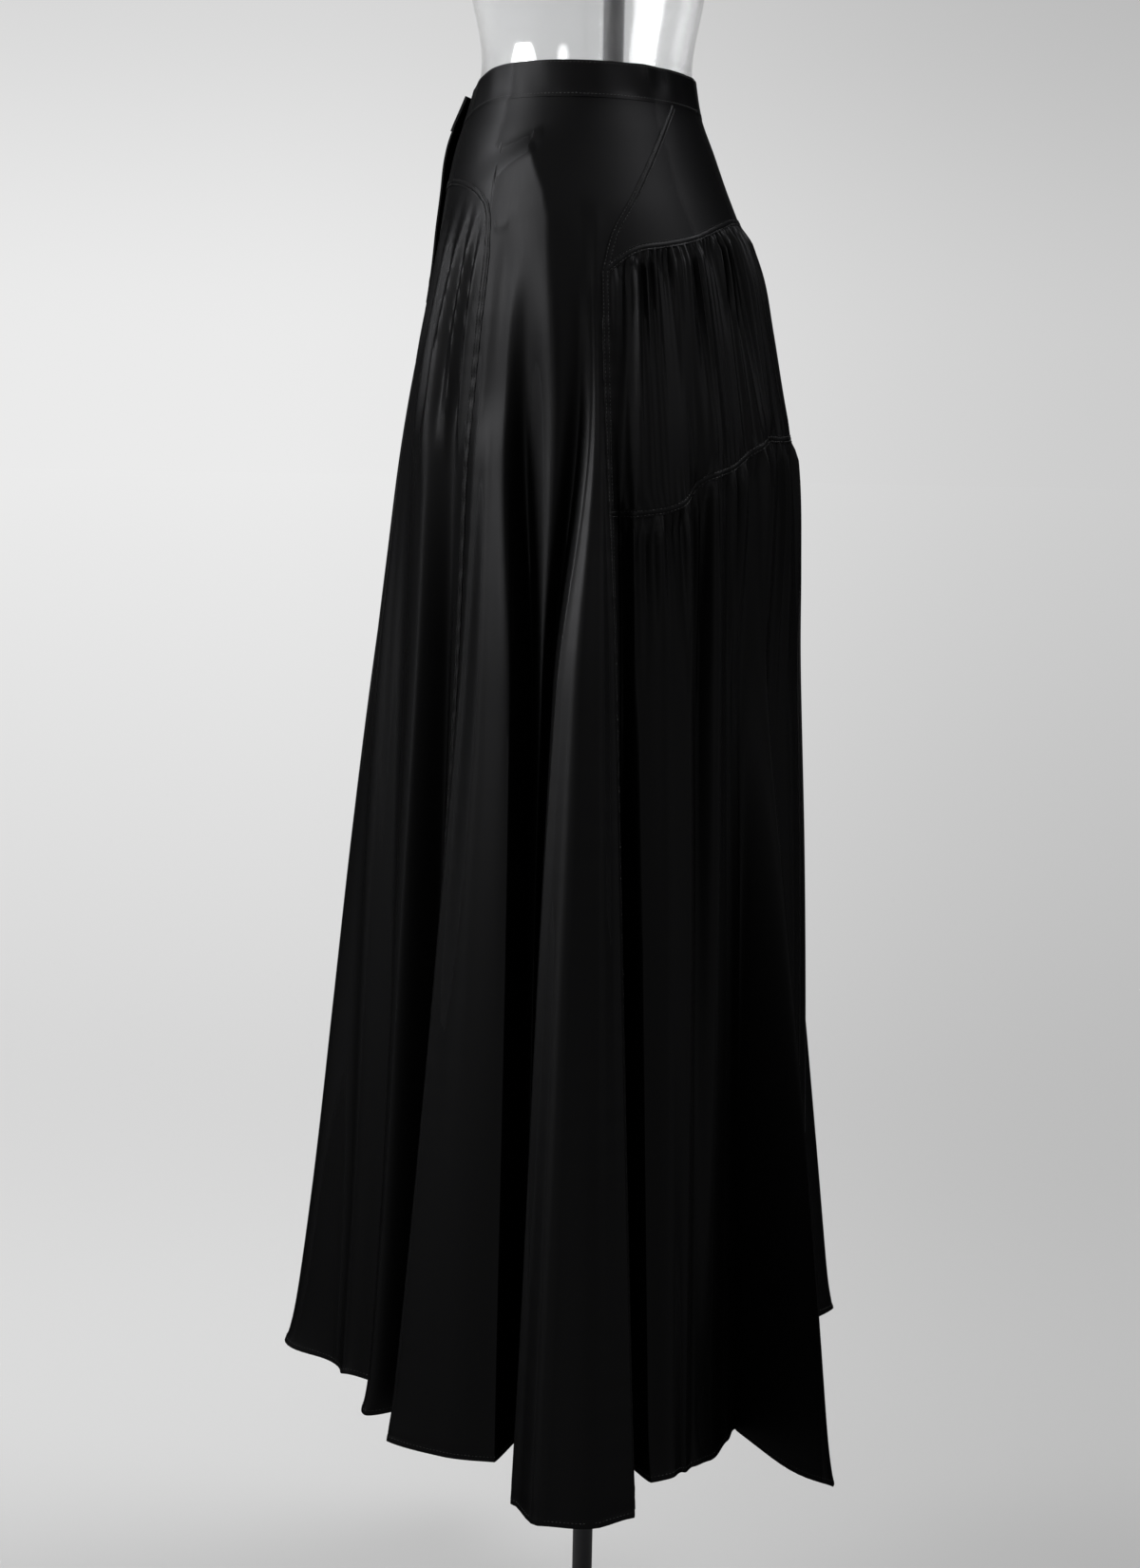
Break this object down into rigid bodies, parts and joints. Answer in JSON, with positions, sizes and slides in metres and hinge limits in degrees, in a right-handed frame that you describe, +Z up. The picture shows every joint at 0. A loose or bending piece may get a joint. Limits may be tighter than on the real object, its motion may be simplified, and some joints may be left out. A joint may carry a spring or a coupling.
{
  "type": "black satin button-front maxi skirt on a clear limbless torso form with a pole stand",
  "caption": "Floor-length flared skirt with curved and diagonal seams, gathered back tiers and a lapped button front, on a clear torso form.",
  "frame": {"origin": "centre of the stand's underside, on the pole's axis", "axes": "+Z up along the pole, -Y the wearer's front, +X the wearer's left"},
  "size_m": [0.5553, 0.4359, 1.6723],
  "materials": {
    "satin": "black satin with a soft sheen",
    "button": "polished black",
    "clear_shell": "clear plastic sheet, smooth",
    "stand_steel": "black satin paint"
  },
  "bodies": {
    "root": {"waistband": "satin", "side_panel_left": "satin", "side_panel_right": "satin", "front_inset_left": "satin", "front_inset_right": "satin", "back_yoke": "satin", "back_tier_upper": "satin", "back_tier_lower": "satin", "placket": "satin", "waistband_button": "button", "placket_button_1": "button", "placket_button_2": "button", "placket_button_3": "button", "placket_button_4": "button", "form_torso": "clear_shell", "form_neck_cap": "stand_steel", "form_pole": "stand_steel", "form_base": "stand_steel"}
  },
  "joints": []
}
